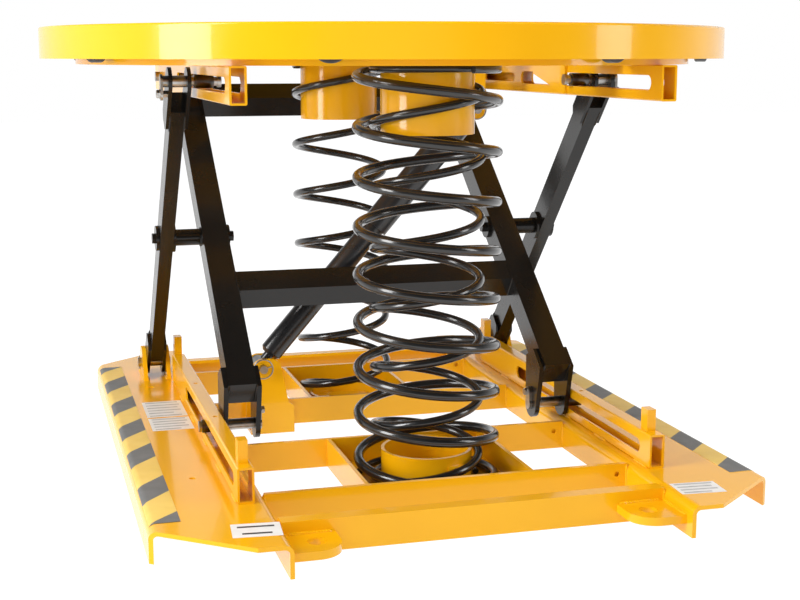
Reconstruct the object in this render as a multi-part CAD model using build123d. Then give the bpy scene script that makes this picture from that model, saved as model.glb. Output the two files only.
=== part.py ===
from build123d import *
import math
import os

# Spring-raised scissor lift table with a turntable ring. Millimetres, +Z up, X across the fork
# pockets' width, -Y at the end with the open rails. The origin is on the floor, in the middle of the
# base. The table is modelled fully raised.

# Heights and overall sizes
TOP_HEIGHT = 705.0
RING_DIAMETER = 1110.0
RING_HEIGHT = 48.0
RING_CENTRE_Y = -10.0
BASE_WIDTH = 912.0

# Scissor geometry. All four pins of one side lie LEG_LENGTH / 2 from the middle pivot.
LEG_LENGTH = 750.0
LEG_ANGLE = 47.2
LOW_PIN_HEIGHT = 72.0
REAR_PIN_Y = 405.0
HALF_LEG = LEG_LENGTH / 2
REACH = LEG_LENGTH * math.cos(math.radians(LEG_ANGLE))
RISE = LEG_LENGTH * math.sin(math.radians(LEG_ANGLE))
HIGH_PIN_HEIGHT = LOW_PIN_HEIGHT + RISE
FRONT_PIN_Y = REAR_PIN_Y - REACH
MIDDLE_Y = (REAR_PIN_Y + FRONT_PIN_Y) / 2
MIDDLE_Z = LOW_PIN_HEIGHT + RISE / 2

# Wings, which are the fork pockets
WING_INNER = 281.0
WING_OUTER = BASE_WIDTH / 2
WING_HEIGHT = 46.0
WING_PLATE = 6.0
WING_BEND = 13.0
WING_HALF_LENGTH = 617.0
WING_SIDE_HALF_LENGTH = 510.0
WING_CORNER = 47.0

# Base frame between the wings
END_MEMBER_Y = 528.0
END_MEMBER_DEPTH = 24.0
WALL_THICK = 8.0
POCKET_OUTER_Y = 401.0
POCKET_INNER_Y = 136.0
POCKET_CENTRE_Y = 268.5
BAR_THICK = 6.0
FRONT_BAR_X = 125.0
REAR_BAR_X = 94.0
SEAT_THICK = 6.0
MEMBER_HOLE_RADIUS = 4.0
MEMBER_HOLE_DEPTH = 6.0
MEMBER_HOLE_X = 265.0
MEMBER_HOLE_Z = 30.0
LUG_WIDTH = 74.0
LUG_REACH = 72.0
LUG_CORNER = 38.0
LUG_HOLE_RADIUS = 13.0

# Slotted rails
RAIL_INNER = 301.0
RAIL_OUTER = 325.0
RAIL_HEIGHT = 52.0
RAIL_WALL = 3.0
RAIL_FRONT_Y = -438.0
LOW_RAIL_REAR_Y = 335.0
HIGH_RAIL_REAR_Y = 485.0
SLOT_FRONT_Y = -403.0
SLOT_REAR_Y = 135.0
SLOT_HEIGHT = 22.0
HIGH_RAIL_BOTTOM = HIGH_PIN_HEIGHT - RAIL_HEIGHT / 2
DECK_BOTTOM = HIGH_PIN_HEIGHT + RAIL_HEIGHT / 2
LOWERED_ANGLE = 6.6
LOWERED_DROP = RISE - LEG_LENGTH * math.sin(math.radians(LOWERED_ANGLE))

# Legs
INNER_LEG_X = 245.0
INNER_LEG_SIZE = 45.0
INNER_TUBE_ANGLE = 37.2
INNER_TUBE_LOW_END = -360.0
INNER_TUBE_HIGH_END = 400.0
HIGH_EAR_START = 345.0
TOP_CROSS_TUBE_AT = 377.5
MIDDLE_CROSS_TUBE_AT = -133.0
INNER_EAR = 8.0
OUTER_LEG_X = 340.0
OUTER_LEG_WIDTH = 23.0
OUTER_LEG_DEPTH = 45.0
OUTER_EAR = 6.0
TUBE_WALL = 4.0
EAR_RADIUS = 24.0
OUTER_EAR_RADIUS = 22.0
DOUBLER = 5.0
DOUBLER_LENGTH = 54.0
DOUBLER_WIDTH = 44.0

# Pins, bushes and rollers
PIN_RADIUS = 9.0
STUB_RADIUS = 7.0
PIVOT_RADIUS = 10.0
PIVOT_CAP_RADIUS = 22.0
PIVOT_CAP_THICK = 5.0
PIVOT_WASHER_RADIUS = 20.0
PIVOT_END_GAP = 0.5
PIVOT_BOLT_RADIUS = 9.8
PIVOT_HEAD_HEIGHT = 6.0
PIVOT_NUT_HEIGHT = 8.0
RUNNING_GAP = 0.05
ROLLER_RADIUS = 10.5
BUSH_RADIUS = 14.5

# Springs and their cups
CUP_RADIUS = 71.0
CUP_WALL = 5.0
FRONT_LOW_CUP_TOP = 58.0
REAR_LOW_CUP_TOP = 22.0
HIGH_CUP_BOTTOM = 546.0
REAR_HIGH_CUP_X = -10.0
REAR_SPRING_LEAN = 0.95
OUTER_COIL_RADIUS = 106.2
OUTER_WIRE = 15.5
OUTER_PITCH = 73.0
INNER_COIL_RADIUS = 81.7
INNER_WIRE = 13.6
INNER_PITCH = 92.0

# Damper, from the bracket on the base to the lug under the deck
DAMPER_Y = 108.0
DAMPER_LOW_X = -195.5
DAMPER_LOW_Z = 119.0
DAMPER_HIGH_X = 195.5
DAMPER_HIGH_Z = 567.0
DAMPER_BODY_RADIUS = 20.0
DAMPER_BODY_WALL = 4.0
DAMPER_BODY_FOOT = 25.0
DAMPER_BODY_TOP = 345.0
DAMPER_FOOT_BEVEL = 6.0
DAMPER_COVER_RADIUS = 25.0
DAMPER_COVER_WALL = 3.0
DAMPER_COVER_START = 320.0
DAMPER_COVER_END_GAP = 24.0
DAMPER_ROD_RADIUS = 8.0
DAMPER_PISTON = 280.0
DAMPER_EYE_RADIUS = 15.0
DAMPER_EYE_WIDTH = 40.0
DAMPER_HALF_GAP = 22.0
DAMPER_PIN_RADIUS = 7.0
DAMPER_PIN_END = 14.0
DAMPER_PLATE = 6.0
COTTER_RADIUS = 17.0
COTTER_WIRE = 1.2
TOP_BRACKET_RADIUS = 18.0
BRACKET_LEFT = -218.0
BRACKET_RIGHT = -140.0
BRACKET_TOP = 135.0
BRACKET_CORNER = 20.0

# Deck and turntable
DECK_TOP = 690.0
DECK_BAND_RADIUS = 500.0
DECK_BAND_WALL = 8.0
DECK_FLANGE_RADIUS = 430.0
DECK_PLATE = 6.0
RING_PLATE = 5.0
RING_FLANGE_RADIUS = 455.0
RING_LIP = 13.0
RING_EDGE = 3.0
RING_ROLLER_COUNT = 8
RING_ROLLER_RADIUS = 24.0
RING_ROLLER_WIDTH = 18.0
RING_ROLLER_AT = 521.0
RING_AXLE_RADIUS = 6.0


def block(x, y, z):
    """A box between two values on each axis."""
    size = Box(x[1] - x[0], y[1] - y[0], z[1] - z[0], align=(Align.MIN, Align.MIN, Align.MIN))
    return Pos(x[0], y[0], z[0]) * size


def side_plate(sketch, x_from, x_to):
    """A plate across X, from a sketch drawn in Y and Z."""
    return Pos(x_from, 0, 0) * extrude(Plane.YZ * sketch, x_to - x_from, dir=(1, 0, 0))


def upright_plate(sketch, y_from, y_to):
    """A plate across Y, from a sketch drawn in X and Z."""
    return Pos(0, y_to, 0) * extrude(Plane.XZ * sketch, y_to - y_from, dir=(0, -1, 0))


def cross_rod(radius, x_from, x_to, y, z):
    """A round bar along X."""
    return side_plate(Pos(y, z) * Circle(radius), x_from, x_to)


def other_side(shape):
    return mirror(shape, about=Plane.YZ)


def front_to_back(shape):
    return mirror(shape, about=Plane.XZ)


def pair(shape):
    return [shape, other_side(shape)]


def slot_sketch(y_from, y_to, z, height):
    return Pos((y_from + y_to) / 2, z) * SlotOverall(y_to - y_from, height)


def along_inner_leg(distance):
    """The Y and Z of a point on the inner leg's centreline, measured from the middle pivot."""
    angle = math.radians(INNER_TUBE_ANGLE)
    return MIDDLE_Y + distance * math.cos(angle), MIDDLE_Z + distance * math.sin(angle)


# ---------------------------------------------------------------- base

def wing():
    """Right-hand fork pocket: one plate bent into an upside-down U, with its outer corners cut off."""
    middle = (WING_INNER + WING_OUTER) / 2
    outside = Pos(middle, WING_HEIGHT / 2) * Rectangle(WING_OUTER - WING_INNER, WING_HEIGHT)
    top_corners = outside.vertices().group_by(Axis.Y)[-1]
    outside = fillet(top_corners, WING_BEND)
    inside_width = WING_OUTER - WING_INNER - 2 * WING_PLATE
    inside = Pos(middle, (WING_HEIGHT - WING_PLATE) / 2) * Rectangle(inside_width, WING_HEIGHT - WING_PLATE)
    inside = fillet(inside.vertices().group_by(Axis.Y)[-1], WING_BEND - WING_PLATE)
    profile = Plane.XZ * (outside - inside)
    bent = extrude(profile, WING_HALF_LENGTH, both=True)
    plan = Polygon(
        (WING_INNER - 1, -WING_HALF_LENGTH),
        (WING_INNER + WING_CORNER, -WING_HALF_LENGTH),
        (WING_OUTER + 1, -WING_SIDE_HALF_LENGTH),
        (WING_OUTER + 1, WING_SIDE_HALF_LENGTH),
        (WING_INNER + WING_CORNER, WING_HALF_LENGTH),
        (WING_INNER - 1, WING_HALF_LENGTH),
        align=None,
    )
    bent = bent & extrude(plan, WING_HEIGHT + 1)
    for hole_y in (-297.0, 297.0):
        bent = bent - Pos(370, hole_y, WING_HEIGHT) * Cylinder(5, 4 * WING_PLATE)
    return bent


def end_member():
    """Channel across the rear end, open towards the middle."""
    front = END_MEMBER_Y
    back = END_MEMBER_Y - END_MEMBER_DEPTH
    outer = block((-WING_INNER, WING_INNER), (back, front), (0, WING_HEIGHT))
    hollow = block((-WING_INNER, WING_INNER), (back - 1, front - WING_PLATE), (WING_PLATE, WING_HEIGHT - WING_PLATE))
    return outer - hollow


def cross_wall(y_low):
    """Flat bar on edge across the frame, with a small blind hole near its right-hand end."""
    wall = block((-WING_INNER, WING_INNER), (y_low, y_low + WALL_THICK), (0, WING_HEIGHT))
    hole = Cylinder(MEMBER_HOLE_RADIUS, 2 * MEMBER_HOLE_DEPTH)
    return wall - Pos(MEMBER_HOLE_X, y_low, MEMBER_HOLE_Z) * Rot(90, 0, 0) * hole


def pocket_bars():
    inner_y = POCKET_INNER_Y + WALL_THICK
    outer_y = POCKET_OUTER_Y - WALL_THICK
    front = block((FRONT_BAR_X, FRONT_BAR_X + BAR_THICK), (-outer_y, -inner_y), (0, WING_HEIGHT))
    rear = block((REAR_BAR_X, REAR_BAR_X + BAR_THICK), (inner_y, outer_y), (0, WING_HEIGHT))
    return pair(front) + pair(rear)


def low_seats():
    inner_y = POCKET_INNER_Y + WALL_THICK
    outer_y = POCKET_OUTER_Y - WALL_THICK
    front = block((-FRONT_BAR_X, FRONT_BAR_X), (-outer_y, -inner_y), (0, SEAT_THICK))
    rear = block((-REAR_BAR_X, REAR_BAR_X), (inner_y, outer_y), (0, SEAT_THICK))
    return [front, rear]


def cup(x, y, z_low, z_high):
    height = z_high - z_low
    ring = Cylinder(CUP_RADIUS, height) - Cylinder(CUP_RADIUS - CUP_WALL, height)
    return Pos(x, y, (z_low + z_high) / 2) * ring


def low_cups():
    tab = block((14, 42), (-POCKET_CENTRE_Y - CUP_RADIUS - 2.5, -POCKET_CENTRE_Y - 60), (SEAT_THICK, 44))
    inside = Pos(0, -POCKET_CENTRE_Y, 0) * Cylinder(CUP_RADIUS - 1, 200)
    front = cup(0, -POCKET_CENTRE_Y, SEAT_THICK, FRONT_LOW_CUP_TOP) + (tab - inside)
    return [front, cup(0, POCKET_CENTRE_Y, SEAT_THICK, REAR_LOW_CUP_TOP)]


def rail(z_low, y_rear):
    """Rectangular tube with a long slot through both webs, for the leg roller."""
    height = (z_low, z_low + RAIL_HEIGHT)
    tube = block((RAIL_INNER, RAIL_OUTER), (RAIL_FRONT_Y, y_rear), height)
    tube = fillet(tube.edges().filter_by(Axis.Y), 2.5)
    hollow = block(
        (RAIL_INNER + RAIL_WALL, RAIL_OUTER - RAIL_WALL),
        (RAIL_FRONT_Y - 1, y_rear + 1),
        (z_low + RAIL_WALL, z_low + RAIL_HEIGHT - RAIL_WALL),
    )
    long_slot = slot_sketch(SLOT_FRONT_Y, SLOT_REAR_Y, z_low + RAIL_HEIGHT / 2, SLOT_HEIGHT)
    return tube - hollow - side_plate(long_slot, RAIL_INNER - 1, RAIL_OUTER + 1)


def low_rail():
    tube = rail(WING_HEIGHT, LOW_RAIL_REAR_Y)
    for hole_y in (-146.0, 88.0):
        hole = Cylinder(4, 10)
        tube = tube - Pos(313, hole_y, WING_HEIGHT + RAIL_HEIGHT) * hole
    return tube


def posts():
    """Four stops that carry the deck's rails when the table is down."""
    top = HIGH_RAIL_BOTTOM - LOWERED_DROP - 0.3
    front = block((306, 320), (-416, -394), (WING_HEIGHT + RAIL_HEIGHT, top))
    rear = block((306, 320), (336, 358), (WING_HEIGHT, top))
    return pair(front) + pair(rear)


def lug():
    """Rear-right lifting lug: a flat tongue with a rounded end and one hole, low on the end member."""
    tongue = block((WING_INNER - LUG_WIDTH, WING_INNER), (END_MEMBER_Y, END_MEMBER_Y + LUG_REACH), (16, 28))
    corner = tongue.edges().filter_by(Axis.Z).sort_by(lambda edge: edge.center().X - edge.center().Y)[0]
    tongue = fillet(corner, LUG_CORNER)
    return tongue - Pos(WING_INNER - 41, END_MEMBER_Y + 34, 22) * Cylinder(LUG_HOLE_RADIUS, 20)


def bracket_plate(x_from, x_to):
    """One plate of the clevis that holds the foot of an outer leg."""
    round_top = Pos(REAR_PIN_Y, LOW_PIN_HEIGHT) * Circle(32)
    foot = Polygon(
        (REAR_PIN_Y - 52, WING_HEIGHT),
        (REAR_PIN_Y + 52, WING_HEIGHT),
        (REAR_PIN_Y + 31, LOW_PIN_HEIGHT + 8),
        (REAR_PIN_Y - 31, LOW_PIN_HEIGHT + 8),
        align=None,
    )
    below = Pos(REAR_PIN_Y, WING_HEIGHT - 50) * Rectangle(300, 100)
    hole = Pos(REAR_PIN_Y, LOW_PIN_HEIGHT) * Circle(PIN_RADIUS)
    return side_plate(round_top + foot - below - hole, x_from, x_to)


def leg_brackets():
    inner = bracket_plate(325.5, 333.5)
    outer = bracket_plate(369.5, 377.5)
    return pair(inner) + pair(outer)


def foot_pins():
    """Pins of the outer legs' feet, each with a head and a split pin."""
    pin = cross_rod(PIN_RADIUS, 322, 384, REAR_PIN_Y, LOW_PIN_HEIGHT)
    split_pin = Pos(381, REAR_PIN_Y, LOW_PIN_HEIGHT) * Cylinder(1.6, 26)
    return pair(pin + split_pin)


def damper_base_bracket():
    """Two upright plates in front of the rear middle wall, with rounded tops, and a foot between them."""
    plates = []
    for y_low in (DAMPER_Y - DAMPER_HALF_GAP - DAMPER_PLATE, DAMPER_Y + DAMPER_HALF_GAP):
        flat = Polygon(
            (BRACKET_LEFT, 0),
            (BRACKET_RIGHT, 0),
            (BRACKET_RIGHT, 48),
            (BRACKET_RIGHT - 10, 55),
            (BRACKET_RIGHT - 25, BRACKET_TOP),
            (BRACKET_LEFT + 4, BRACKET_TOP),
            align=None,
        )
        top_corners = flat.vertices().group_by(Axis.Y)[-1]
        flat = fillet(top_corners, BRACKET_CORNER)
        flat = flat - Pos(DAMPER_LOW_X, DAMPER_LOW_Z) * Circle(DAMPER_PIN_RADIUS)
        plates.append(upright_plate(flat, y_low, y_low + DAMPER_PLATE))
    foot = block(
        (BRACKET_LEFT, BRACKET_RIGHT),
        (DAMPER_Y - DAMPER_HALF_GAP, DAMPER_Y + DAMPER_HALF_GAP),
        (0, DAMPER_PLATE),
    )
    return plates[0] + plates[1] + foot


def ring_cotter(x, z):
    """Wire straight through the end of a damper pin, bent round into a ring about the pin."""
    ring = Rot(90, 0, 0) * Torus(COTTER_RADIUS, COTTER_WIRE)
    wire = Rot(0, 75, 0) * Cylinder(COTTER_WIRE, 2 * COTTER_RADIUS)
    middle = DAMPER_Y - DAMPER_HALF_GAP - DAMPER_PLATE - DAMPER_PIN_END / 2
    return Pos(x, middle, z) * (ring + wire)


def damper_base_pins():
    """Two stub pins, one in each plate. The linkage is open here, so nothing passes through the eye."""
    section = Pos(DAMPER_LOW_X, DAMPER_LOW_Z) * Circle(DAMPER_PIN_RADIUS)
    outside = DAMPER_HALF_GAP + DAMPER_PLATE
    near = upright_plate(section, DAMPER_Y - outside - DAMPER_PIN_END, DAMPER_Y - DAMPER_HALF_GAP)
    far = upright_plate(section, DAMPER_Y + DAMPER_HALF_GAP, DAMPER_Y + outside)
    return [near + ring_cotter(DAMPER_LOW_X, DAMPER_LOW_Z), far]


# ---------------------------------------------------------------- scissor legs

def inner_ear_sketch():
    """Outline of the ear that drops from the low end of an inner leg to its roller pin."""
    y = FRONT_PIN_Y
    z = LOW_PIN_HEIGHT
    outline = Polygon(
        (y - EAR_RADIUS, z),
        (y - 42, z + 71),
        (y - 8, z + 97),
        (y + EAR_RADIUS, z + 80),
        (y + EAR_RADIUS, z),
        align=None,
    )
    return outline + Pos(y, z) * Circle(EAR_RADIUS)


def inner_ears():
    """The low pair of ears, and a shorter pair turned half a turn about the middle pivot."""
    y, z = along_inner_leg(HIGH_EAR_START + HALF_LEG / 2)
    high_end = Pos(0, y, z) * Rot(INNER_TUBE_ANGLE, 0, 0) * Box(BASE_WIDTH, HALF_LEG, HALF_LEG)
    half_turn = Pos(0, MIDDLE_Y, MIDDLE_Z) * Rot(180, 0, 0) * Pos(0, -MIDDLE_Y, -MIDDLE_Z)
    plates = []
    for x_from in (INNER_LEG_X - INNER_EAR, INNER_LEG_X + INNER_LEG_SIZE):
        plate = side_plate(inner_ear_sketch(), x_from, x_from + INNER_EAR)
        plates.append(plate)
        plates.append(half_turn * plate & high_end)
    return plates


def inner_tube(x_from, x_to, start, end, wall):
    """Square tube lying on the inner leg's line, from one distance to the other."""
    length = end - start
    width = x_to - x_from
    solid = Box(width, length, INNER_LEG_SIZE)
    hollow = Box(width - 2 * wall, length - 2 * wall, INNER_LEG_SIZE - 2 * wall)
    y, z = along_inner_leg((start + end) / 2)
    return Pos((x_from + x_to) / 2, y, z) * Rot(INNER_TUBE_ANGLE, 0, 0) * (solid - hollow)


def cross_tube_seat():
    """Square pad on the leg, as thick as an ear, where the top cross tube ends."""
    y, z = along_inner_leg(TOP_CROSS_TUBE_AT)
    pad = Box(INNER_EAR, INNER_LEG_SIZE, INNER_LEG_SIZE)
    return Pos(INNER_LEG_X - INNER_EAR / 2, y, z) * Rot(INNER_TUBE_ANGLE, 0, 0) * pad


def inner_leg():
    tube = inner_tube(INNER_LEG_X, INNER_LEG_X + INNER_LEG_SIZE, INNER_TUBE_LOW_END, INNER_TUBE_HIGH_END, TUBE_WALL)
    for ear in inner_ears():
        tube = tube + ear
    tube = tube + cross_tube_seat()
    bush_end = OUTER_LEG_X - DOUBLER - 0.5
    boss = cross_rod(BUSH_RADIUS, INNER_LEG_X + 10, bush_end, MIDDLE_Y, MIDDLE_Z)
    tube = tube + boss
    for y, z in ((FRONT_PIN_Y, LOW_PIN_HEIGHT), (REAR_PIN_Y, HIGH_PIN_HEIGHT)):
        tube = tube - cross_rod(PIN_RADIUS, 230, 300, y, z)
    return tube - cross_rod(PIVOT_RADIUS, 230, 400, MIDDLE_Y, MIDDLE_Z)


def cross_tube(at, length):
    """Square tube between the two inner legs."""
    inside = INNER_LEG_SIZE - 2 * TUBE_WALL
    y, z = along_inner_leg(at)
    tube = Box(length, INNER_LEG_SIZE, INNER_LEG_SIZE) - Box(length, inside, inside)
    return Pos(0, y, z) * Rot(INNER_TUBE_ANGLE, 0, 0) * tube


def outer_place(distance):
    """Placement on the outer leg's line, measured from the middle pivot towards the top roller."""
    return Pos(0, MIDDLE_Y, MIDDLE_Z) * Rot(-LEG_ANGLE, 0, 0) * Pos(0, -distance, 0)


def outer_ear(x_from, x_to, pin_at, length):
    """Ear with a round end at the pin, welded to the side of the tube."""
    turn = 1 if pin_at > 0 else -1
    body = Pos(turn * length / 2, 0) * Rectangle(length, 2 * OUTER_EAR_RADIUS)
    far_corners = body.vertices().sort_by(Axis.X, reverse=turn > 0)[:2]
    body = chamfer(far_corners, 10)
    plate = side_plate(body + Circle(OUTER_EAR_RADIUS), x_from, x_to)
    return outer_place(pin_at) * plate


def outer_leg():
    """Right-hand outer leg: a flat rectangular tube with two ears at each end and a doubler inside."""
    low_end = -HALF_LEG + 32
    high_end = HALF_LEG - 45
    length = high_end - low_end
    solid = Box(OUTER_LEG_WIDTH, length, OUTER_LEG_DEPTH)
    hollow = Box(OUTER_LEG_WIDTH - 6, length - 6, OUTER_LEG_DEPTH - 6)
    centre_x = OUTER_LEG_X + OUTER_LEG_WIDTH / 2
    leg = outer_place((low_end + high_end) / 2) * Pos(centre_x, 0, 0) * (solid - hollow)
    sides = (OUTER_LEG_X - OUTER_EAR, OUTER_LEG_X + OUTER_LEG_WIDTH)
    for x_from in sides:
        leg = leg + outer_ear(x_from, x_from + OUTER_EAR, HALF_LEG, 92)
        leg = leg + outer_ear(x_from, x_from + OUTER_EAR, -HALF_LEG, 76)
    doubler = side_plate(SlotOverall(DOUBLER_LENGTH, DOUBLER_WIDTH), OUTER_LEG_X - DOUBLER, OUTER_LEG_X)
    leg = leg + outer_place(0) * doubler
    leg = leg + cross_rod(BUSH_RADIUS, OUTER_LEG_X, OUTER_LEG_X + OUTER_LEG_WIDTH, MIDDLE_Y, MIDDLE_Z)
    leg = leg - cross_rod(PIVOT_RADIUS + RUNNING_GAP, 300, 400, MIDDLE_Y, MIDDLE_Z)
    leg = leg - cross_rod(PIN_RADIUS, 300, 400, FRONT_PIN_Y, HIGH_PIN_HEIGHT)
    return leg - cross_rod(PIN_RADIUS + RUNNING_GAP, 300, 400, REAR_PIN_Y, LOW_PIN_HEIGHT)


def middle_pivots():
    """Pivots with a round cap outside the outer leg, a washer inside the inner leg, and a bolt through."""
    cap_from = OUTER_LEG_X + OUTER_LEG_WIDTH + PIVOT_END_GAP
    cap_to = cap_from + PIVOT_CAP_THICK
    washer_from = INNER_LEG_X - PIVOT_CAP_THICK
    pivot = cross_rod(PIVOT_RADIUS, washer_from, cap_to, MIDDLE_Y, MIDDLE_Z)
    cap = cross_rod(PIVOT_CAP_RADIUS, cap_from, cap_to, MIDDLE_Y, MIDDLE_Z)
    washer = cross_rod(PIVOT_WASHER_RADIUS, washer_from, INNER_LEG_X, MIDDLE_Y, MIDDLE_Z)
    hexagon = Pos(MIDDLE_Y, MIDDLE_Z) * RegularPolygon(PIVOT_BOLT_RADIUS, 6)
    head = side_plate(hexagon, cap_to, cap_to + PIVOT_HEAD_HEIGHT)
    nut = side_plate(hexagon, washer_from - PIVOT_NUT_HEIGHT, washer_from)
    return pair(pivot + cap + washer + head + nut)


def keeper_bolt(x_from, x_to, y, z):
    """Small hexagon bolt that stops a leg pin from turning."""
    return side_plate(Pos(y, z) * RegularPolygon(6, 6), x_from, x_to)


def upper_roller_pins():
    """Pins through the outer legs' top ears, each with a thinner end that carries a roller."""
    y = FRONT_PIN_Y
    z = HIGH_PIN_HEIGHT
    thick = cross_rod(PIN_RADIUS, 333, 376, y, z)
    thin = cross_rod(STUB_RADIUS, 286, 333, y, z)
    end = cross_rod(PIN_RADIUS, 286, 292, y, z)
    flag = side_plate(Pos(y, z - 9) * SlotOverall(40, 18, rotation=90), 376, 380)
    keeper = keeper_bolt(369, 386, y, z - 19)
    return pair(thick + thin + end + flag + keeper)


def lower_roller_pins():
    """Pins through the inner legs' low ears, each with a thinner end that carries a roller."""
    y = FRONT_PIN_Y
    z = LOW_PIN_HEIGHT
    thick = cross_rod(PIN_RADIUS, 232, 298, y, z)
    thin = cross_rod(STUB_RADIUS, 298, 334, y, z)
    end = cross_rod(PIN_RADIUS, 330, 334, y, z)
    flag = side_plate(Pos(y + 2, z + 9) * SlotOverall(40, 18, rotation=90), 232, 237)
    keeper = keeper_bolt(226, 237, y + 4, z + 20)
    return pair(thick + thin + end + flag + keeper)


def inner_top_pins():
    """Pins that join the inner legs' top ears to the deck's rails."""
    pin = cross_rod(PIN_RADIUS, 232, 334, REAR_PIN_Y, HIGH_PIN_HEIGHT)
    head = cross_rod(PIN_RADIUS + 4, 229, 232, REAR_PIN_Y, HIGH_PIN_HEIGHT)
    return pair(pin + head)


def leg_roller(x_from, x_to, z):
    """Roller that runs in a rail's slot."""
    outside = cross_rod(ROLLER_RADIUS, x_from, x_to, FRONT_PIN_Y, z)
    return outside - cross_rod(STUB_RADIUS + RUNNING_GAP, x_from, x_to, FRONT_PIN_Y, z)


# ---------------------------------------------------------------- deck and turntable

def high_rail():
    """Rail under the deck, with a shorter slot in its inner web and holes for the inner leg's pin."""
    tube = rail(HIGH_RAIL_BOTTOM, HIGH_RAIL_REAR_Y)
    rear_slot = slot_sketch(168, 330, HIGH_PIN_HEIGHT, 16)
    tube = tube - side_plate(rear_slot, RAIL_INNER - 1, RAIL_INNER + 10)
    tube = tube - cross_rod(PIN_RADIUS + RUNNING_GAP, 290, 340, REAR_PIN_Y, HIGH_PIN_HEIGHT)
    return tube - cross_rod(7, 290, 340, HIGH_RAIL_REAR_Y - 22, HIGH_PIN_HEIGHT)


def roller_stops():
    """Plates over the inner webs, just behind the upper rollers' highest position."""
    outline = Polygon(
        (62, DECK_BOTTOM),
        (62, DECK_BOTTOM - 18),
        (-72, HIGH_RAIL_BOTTOM + 3),
        (-86, HIGH_RAIL_BOTTOM + 3),
        (-86, DECK_BOTTOM),
        align=None,
    )
    return pair(side_plate(outline, RAIL_INNER - 5, RAIL_INNER))


def deck_band():
    """Rolled band in which the ring rollers' axles are fixed."""
    height = DECK_TOP - DECK_BOTTOM
    inside_radius = DECK_BAND_RADIUS - DECK_BAND_WALL
    band = Pos(0, 0, height / 2) * (Cylinder(DECK_BAND_RADIUS, height) - Cylinder(inside_radius, height))
    for index in range(RING_ROLLER_COUNT):
        hole = Pos(DECK_BAND_RADIUS, 0, roller_height() - DECK_BOTTOM) * Rot(0, 90, 0)
        band = band - Rot(0, 0, roller_angle(index)) * hole * Cylinder(RING_AXLE_RADIUS, 60)
    return Pos(0, RING_CENTRE_Y, DECK_BOTTOM) * band


def deck_flange():
    """Flat ring inside the deck's band, which lies on the rails."""
    outside = Cylinder(DECK_BAND_RADIUS - DECK_BAND_WALL, DECK_PLATE)
    flange = outside - Cylinder(DECK_FLANGE_RADIUS, DECK_PLATE)
    return Pos(0, RING_CENTRE_Y, DECK_BOTTOM + DECK_PLATE / 2) * flange


def hollow_beam(x, y, wall):
    z = (DECK_BOTTOM + DECK_PLATE, DECK_TOP)
    beam = block(x, y, z)
    inner_z = (z[0] + wall, z[1] - wall)
    if x[1] - x[0] > y[1] - y[0]:
        return beam - block((x[0] - 1, x[1] + 1), (y[0] + wall, y[1] - wall), inner_z)
    return beam - block((x[0] + wall, x[1] - wall), (y[0] - 1, y[1] + 1), inner_z)


def deck_beams():
    """Two long beams over the rails and three cross beams between them."""
    side = hollow_beam((293, 333), (-366, 346), 4)
    across = (-293, 293)
    beams = pair(side)
    for y in (-POCKET_CENTRE_Y, POCKET_CENTRE_Y):
        beams.append(hollow_beam(across, (y - 40, y + 40), 4))
    beams.append(hollow_beam(across, (DAMPER_Y - 30, DAMPER_Y + 30), 4))
    return beams


def high_seats():
    z = (DECK_BOTTOM, DECK_BOTTOM + DECK_PLATE)
    plates = []
    for y in (-POCKET_CENTRE_Y, POCKET_CENTRE_Y):
        plates.append(block((-124, 124), (y - 122, y + 122), z))
    return plates


def high_cups():
    front = cup(0, -POCKET_CENTRE_Y, HIGH_CUP_BOTTOM, DECK_BOTTOM)
    rear = cup(REAR_HIGH_CUP_X, POCKET_CENTRE_Y, HIGH_CUP_BOTTOM, DECK_BOTTOM)
    return [front, rear]


def damper_top_bracket():
    """Two plates under the middle cross beam that hold the damper's upper eye."""
    plates = []
    height = DECK_BOTTOM + DECK_PLATE - DAMPER_HIGH_Z
    for y_low in (DAMPER_Y - DAMPER_HALF_GAP - DAMPER_PLATE, DAMPER_Y + DAMPER_HALF_GAP):
        flat = Pos(DAMPER_HIGH_X, DAMPER_HIGH_Z + height / 2) * Rectangle(2 * TOP_BRACKET_RADIUS, height)
        flat = flat + Pos(DAMPER_HIGH_X, DAMPER_HIGH_Z) * Circle(TOP_BRACKET_RADIUS)
        flat = flat - Pos(DAMPER_HIGH_X, DAMPER_HIGH_Z) * Circle(DAMPER_PIN_RADIUS)
        plates.append(upright_plate(flat, y_low, y_low + DAMPER_PLATE))
    return plates


def damper_top_pin():
    """Pin through the bracket and the damper's upper eye, with a ring cotter through its end."""
    section = Pos(DAMPER_HIGH_X, DAMPER_HIGH_Z) * Circle(DAMPER_PIN_RADIUS)
    outside = DAMPER_HALF_GAP + DAMPER_PLATE
    pin = upright_plate(section, DAMPER_Y - outside - DAMPER_PIN_END, DAMPER_Y + outside)
    return pin + ring_cotter(DAMPER_HIGH_X, DAMPER_HIGH_Z)


def roller_angle(index):
    return 360.0 / RING_ROLLER_COUNT * (index + 0.5)


def roller_height():
    return TOP_HEIGHT - RING_PLATE - RING_ROLLER_RADIUS - 0.3


def ring_roller_place(index):
    turn = Pos(0, RING_CENTRE_Y, roller_height()) * Rot(0, 0, roller_angle(index))
    return turn * Pos(RING_ROLLER_AT, 0, 0) * Rot(0, 90, 0)


def ring_roller(index):
    tyre = Cylinder(RING_ROLLER_RADIUS, RING_ROLLER_WIDTH)
    tyre = chamfer(tyre.edges(), 1.5)
    bore = Cylinder(RING_AXLE_RADIUS + RUNNING_GAP, RING_ROLLER_WIDTH)
    return ring_roller_place(index) * (tyre - bore)


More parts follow.
